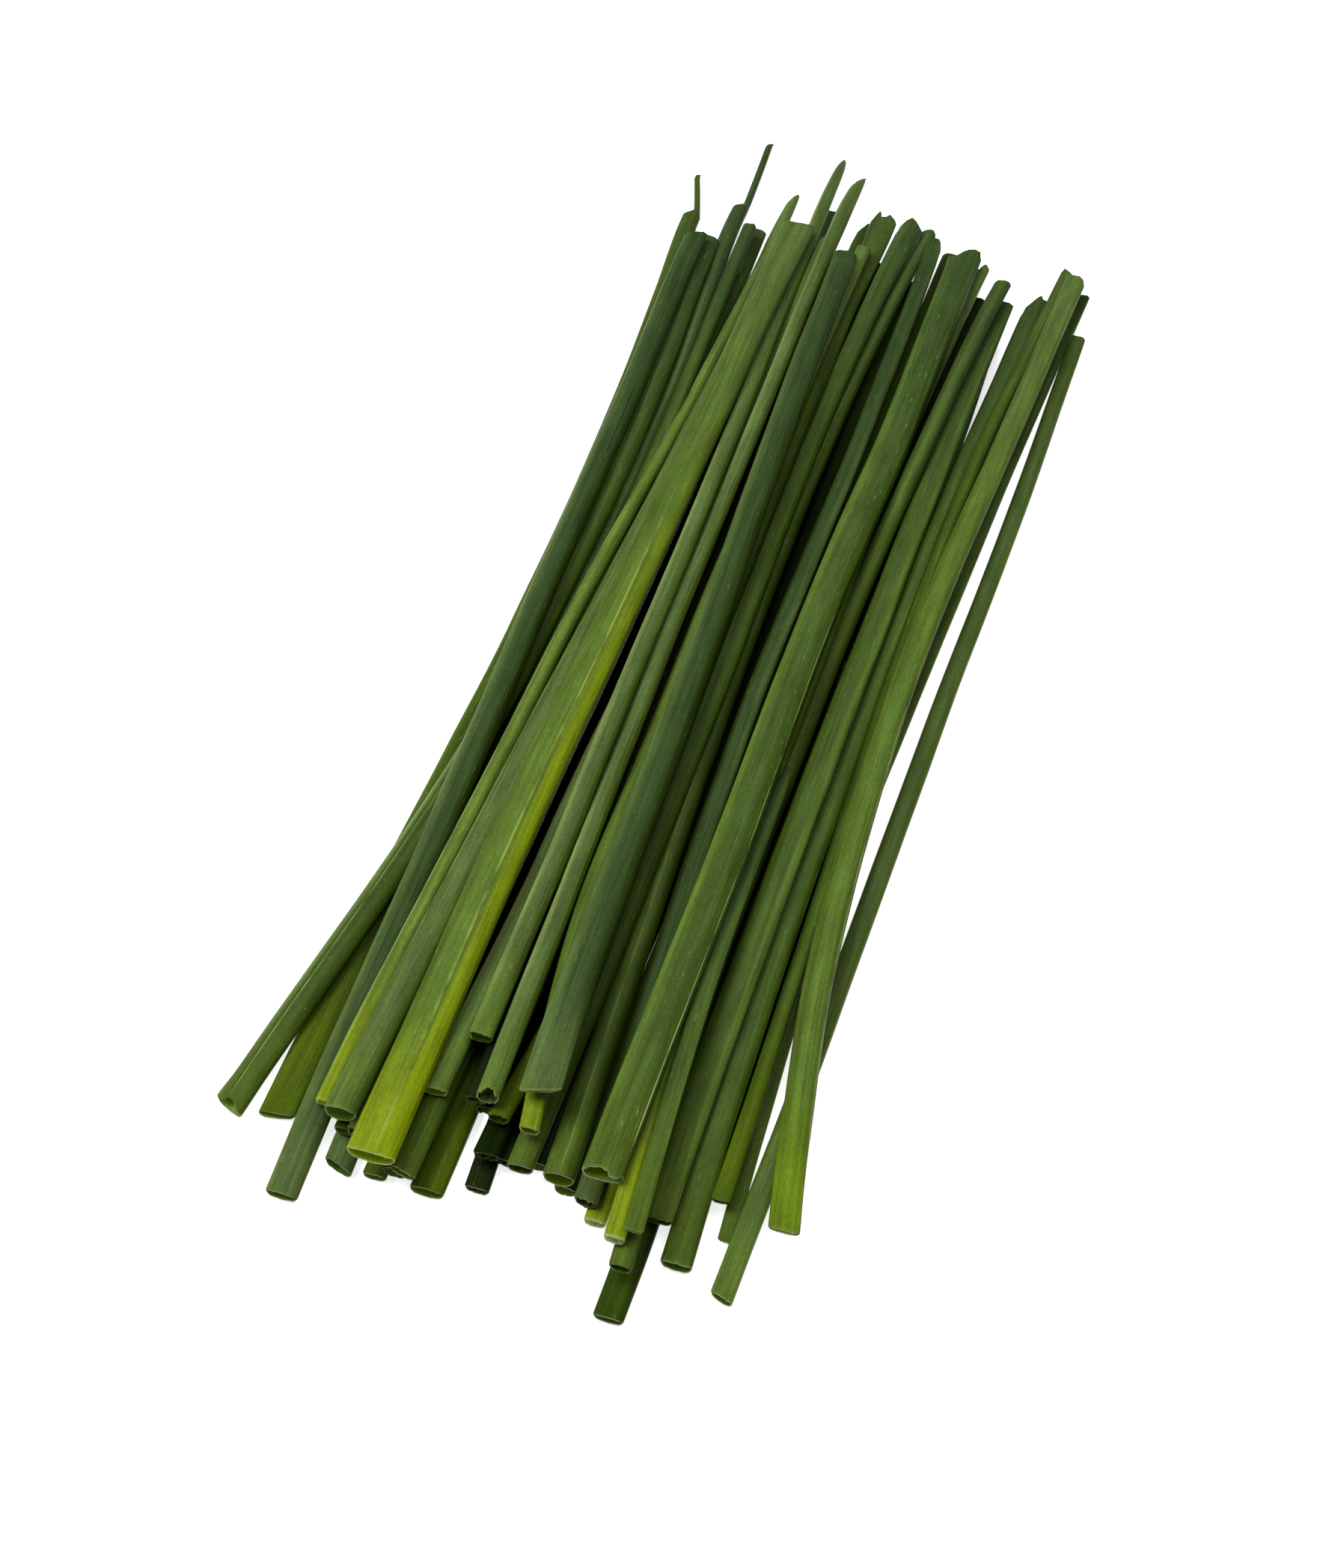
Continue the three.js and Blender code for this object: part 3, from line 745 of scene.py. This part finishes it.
# %% Node helpers
def add_node(tree, kind, inputs=None, **settings):
    """Adds a shader node, sets its options and fills or links its inputs."""
    made = tree.nodes.new(kind)
    for key, value in settings.items():
        setattr(made, key, value)
    for socket, value in (inputs or {}).items():
        if isinstance(value, bpy.types.NodeSocket):
            tree.links.new(value, made.inputs[socket])
        else:
            made.inputs[socket].default_value = value
    return made


def spread(tree, value, low, high, to_low, to_high, smooth=False):
    """Maps low..high to to_low..to_high, and stays there beyond them."""
    kind = "SMOOTHSTEP" if smooth else "LINEAR"
    return add_node(tree, "ShaderNodeMapRange", {
        "Value": value, "From Min": low, "From Max": high, "To Min": to_low, "To Max": to_high,
    }, interpolation_type=kind).outputs["Result"]


def times(tree, a, b):
    return add_node(tree, "ShaderNodeMath", {0: a, 1: b}, operation="MULTIPLY").outputs["Value"]


def mix_colour(tree, factor, a, b, kind="MIX"):
    """Mixes two colours, of which b may be the name of a tone."""
    if isinstance(b, str):
        b = (*TONES[b], 1)
    mixed = add_node(tree, "ShaderNodeMix", {0: factor, 6: a, 7: b}, data_type="RGBA", blend_type=kind)
    return mixed.outputs[2]


def tone_bands(tree, at, words):
    """A colour ramp with the named tones spread evenly across the leaf."""
    ramp = add_node(tree, "ShaderNodeValToRGB", {"Fac": at})
    ramp.color_ramp.interpolation = "LINEAR"
    elements = ramp.color_ramp.elements
    elements.remove(elements[1])
    for i, word in enumerate(words):
        stop = elements[0] if i == 0 else elements.new(1)
        stop.position = 0.08 + 0.84 * (i / max(1, len(words) - 1))
        stop.color = (*TONES[word], 1)
    return ramp.outputs["Color"]


print("a leaf skin mixes tones such as", tones_across("mid", "ridge"))


# %% Skin material
YOUNG = 0.75  # share of the young tone at the cut
OLD = 0.7     # share of the old tone at the tip


def leaf_skin(name, traits, length, seed):
    """Satin skin: painted light and shade in bands across, streaks and flecks along, pale ends."""
    material = bpy.data.materials.new(name)
    material.use_nodes = True
    tree = material.node_tree
    shader = tree.nodes["Principled BSDF"]
    grain = add_node(tree, "ShaderNodeAttribute", attribute_name="grain").outputs["Vector"]
    across = add_node(tree, "ShaderNodeAttribute", attribute_name="across").outputs["Fac"]
    along = add_node(tree, "ShaderNodeSeparateXYZ", {"Vector": grain}).outputs["Z"]

    def streaks(around, lengthwise, shift, detail=2.0):
        moved = add_node(tree, "ShaderNodeMapping", {
            "Vector": grain, "Location": (seed * 3.7 + shift, shift, seed * 1.9),
            "Scale": (around, around, lengthwise)})
        return add_node(tree, "ShaderNodeTexNoise", {
            "Vector": moved.outputs["Vector"], "Scale": 1.0, "Detail": detail}).outputs["Fac"]

    veins = streaks(3.0, 0.06, 0.0, 5.0)
    broad = streaks(1.1, 0.014, 5.0)
    clouds = streaks(0.6, 0.13, 9.0, 3.0)
    pores = streaks(3.2, 1.6, 17.0, 4.0)

    wobble = spread(tree, broad, 0.3, 0.7, -0.1, 0.1)
    placed = add_node(tree, "ShaderNodeMath", {0: across, 1: wobble}, operation="ADD").outputs["Value"]
    band = spread(tree, placed, -1, 1, 0, 1)
    kind = KINDS[traits["kind"]]
    # These bands paint light on the lit flank and shade on the other, from the kind and lit side.
    colour = tone_bands(tree, band, tones_across(traits["kind"], traits["lit"]))
    young, reach = kind["cut"]
    colour = mix_colour(tree, spread(tree, along, 0.3 * reach, 1.3 * reach, YOUNG, 0, True), colour, young)
    if traits["blush"]:
        place, half, word, reach = traits["blush"]
        off = add_node(tree, "ShaderNodeMath", {0: placed, 1: place}, operation="SUBTRACT").outputs["Value"]
        off = add_node(tree, "ShaderNodeMath", {0: off}, operation="ABSOLUTE").outputs["Value"]
        flank = times(tree, spread(tree, off, 0.5 * half, half, 0.75, 0, True),
                      spread(tree, along, 0.4 * reach, reach, 1, 0, True))
        colour = mix_colour(tree, flank, colour, word)
    old, reach = kind["tip"]
    colour = mix_colour(tree, spread(tree, along, length - reach, length, 0, OLD, True), colour, old)

    shade = times(tree, spread(tree, veins, 0.3, 0.7, 0.75, 1.25), spread(tree, clouds, 0.3, 0.7, 0.82, 1.18))
    shade = times(tree, shade, spread(tree, pores, 0.3, 0.7, 0.86, 1.14))
    shade = times(tree, shade, spread(tree, broad, 0.3, 0.7, 0.9, 1.1))
    warm = streaks(1.5, 0.08, 23.0, 4.0)
    red, blue = (times(tree, shade, spread(tree, warm, 0.3, 0.7, low, 2 - low)) for low in (0.93, 1.07))
    grey = add_node(tree, "ShaderNodeCombineColor", {0: red, 1: shade, 2: blue}).outputs["Color"]
    colour = mix_colour(tree, 1.0, colour, grey, "MULTIPLY")

    # Some lines are dry scratches and spots; pale lines on edges, folds and ridges are painted highlights,
    # most dark ones painted shade.
    for place, half, word, first, last, strength in traits["lines"]:
        off = add_node(tree, "ShaderNodeMath", {0: across, 1: place}, operation="SUBTRACT").outputs["Value"]
        off = add_node(tree, "ShaderNodeMath", {0: off}, operation="ABSOLUTE").outputs["Value"]
        mask = times(tree, spread(tree, off, 0, half, strength, 0, True),
                     spread(tree, clouds, 0.38, 0.55, 0, 1))
        mask = times(tree, mask, spread(tree, along, last - 12, last, 1, 0))
        mask = times(tree, mask, spread(tree, along, first, first + 4, 0, 1))
        colour = mix_colour(tree, mask, colour, word)

    fleck = streaks(3.2, 0.5, 13.0, 1.0)
    dry = spread(tree, fleck, 0.72, 0.77, 0, 0.7 * traits["flecks"])
    colour = mix_colour(tree, dry, colour, "wax")
    edge = times(tree, spread(tree, along, 0.05, 0.5, traits["pale"], 0, True),
                 spread(tree, clouds, 0.35, 0.6, 0.5, 1))
    colour = mix_colour(tree, edge, colour, traits["rim"])
    tree.links.new(colour, shader.inputs["Base Color"])

    dull = 0.62 - 0.3 * traits["gloss"]
    tree.links.new(spread(tree, veins, 0.3, 0.7, dull + 0.06, dull - 0.06), shader.inputs["Roughness"])
    bump = add_node(tree, "ShaderNodeBump", {"Height": veins, "Strength": 0.35, "Distance": 0.03 * MM})
    tree.links.new(bump.outputs["Normal"], shader.inputs["Normal"])
    shader.inputs["IOR"].default_value = 1.42
    shader.inputs["Specular IOR Level"].default_value = 0.03 + 0.2 * traits["gloss"]
    shader.inputs["Specular Tint"].default_value = (0.85, 1, 0.4, 1)
    return material


print("share of young tone at the cut:", YOUNG, "and of old tone at the tip:", OLD)


# %% [markdown]
# The rim is the wet wall of the leaf seen end on. It is paler than the skin, and in fresh leaves
# the lining of the hollow glows a little where light comes through the thin wall. A weak emission
# near the cut paints that glow in as painted light. Subsurface scattering could give that glow too,
# but it takes longer to render than a weak emission. A dark rim or lining tone is painted shade,
# on leaves deep in the bunch and in the hollow behind the cut.

# %% Cut rim and lining
wet_walls = {}


def wet_wall(kind, word, deeper):
    """The pale wall that a cut shows, or the lining of the hollow, made once for each tone."""
    key = f"{kind}_{word}"
    if key in wet_walls:
        return wet_walls[key]
    material = bpy.data.materials.new(key)
    material.use_nodes = True
    tree = material.node_tree
    shader = tree.nodes["Principled BSDF"]
    grain = add_node(tree, "ShaderNodeAttribute", attribute_name="grain").outputs["Vector"]
    cells = add_node(tree, "ShaderNodeTexNoise", {
        "Vector": grain, "Scale": 2.5, "Detail": 2.0}).outputs["Fac"]
    fibre = spread(tree, cells, 0.35, 0.65, 0, 0.6)
    colour = mix_colour(tree, fibre, (*TONES[word], 1), deeper)
    tree.links.new(colour, shader.inputs["Base Color"])
    shader.inputs["Roughness"].default_value = 0.42
    shader.inputs["IOR"].default_value = 1.38
    # The lining's emission is painted light, for light through the thin wall; it fades out over the first 7
    # mm.
    if kind == "lining":
        along = add_node(tree, "ShaderNodeSeparateXYZ", {"Vector": grain}).outputs["Z"]
        tree.links.new(colour, shader.inputs["Emission Color"])
        tree.links.new(spread(tree, along, 0, 7, 0.3, 0, True), shader.inputs["Emission Strength"])
    wet_walls[key] = material
    return material


print("rim tones in use:", sorted({traits["rim"] for traits in LOOKS.values()}))


# %% Shape every leaf
shapes = {node: leaf_mesh(node, LOOKS[node], 10 * seed) for seed, node in enumerate(BLADES)}


def ring_points(mesh):
    """The points of a leaf's mesh, as rings."""
    points = np.empty(len(mesh.vertices) * 3)
    mesh.vertices.foreach_get("co", points)
    return points.reshape(-1, ROUND, 3)


skins = {node: ring_points(mesh)[:rings[0] + 1] for node, (mesh, _, rings) in shapes.items()}
pressed = press_apart(skins)
for node, (mesh, _, rings) in shapes.items():
    points = ring_points(mesh) + pressed[node][::-1][rings]
    points[:, :, 2] = np.maximum(points[:, :, 2], LOWEST)
    mesh.vertices.foreach_set("co", points.ravel())
    mesh.update()
left = max(np.linalg.norm(way, axis=2).max() for way in overlaps(skins).values())
print("deepest press, mm:", round(max(np.linalg.norm(way, axis=2).max() for way in pressed.values()) / MM, 2),
      "overlap left, mm:", round(left / MM, 3))

# %% Dress every leaf
triangles = 0
for seed, node in enumerate(BLADES):
    traits = LOOKS[node]
    mesh, length, _ = shapes[node]
    mesh.materials.append(leaf_skin(node.replace("blade", "skin"), traits, length, seed))
    mesh.materials.append(wet_wall("rim", traits["rim"], "moss"))
    mesh.materials.append(wet_wall("lining", traits["inside"], "olive"))
    leaf = bpy.data.objects.new(mesh.name, mesh)
    bpy.context.collection.objects.link(leaf)
    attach(leaf, "root")
    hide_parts(node)
    triangles += sum(len(p.vertices) - 2 for p in mesh.polygons)
print("triangles in all:", triangles)

# %% Compare the sizes and finish
boxes = {"frame": frame_box, "visual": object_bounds()}
for key, box in boxes.items():
    print(key, "box in mm:", [[round(c / MM, 1) for c in corner] for corner in box])
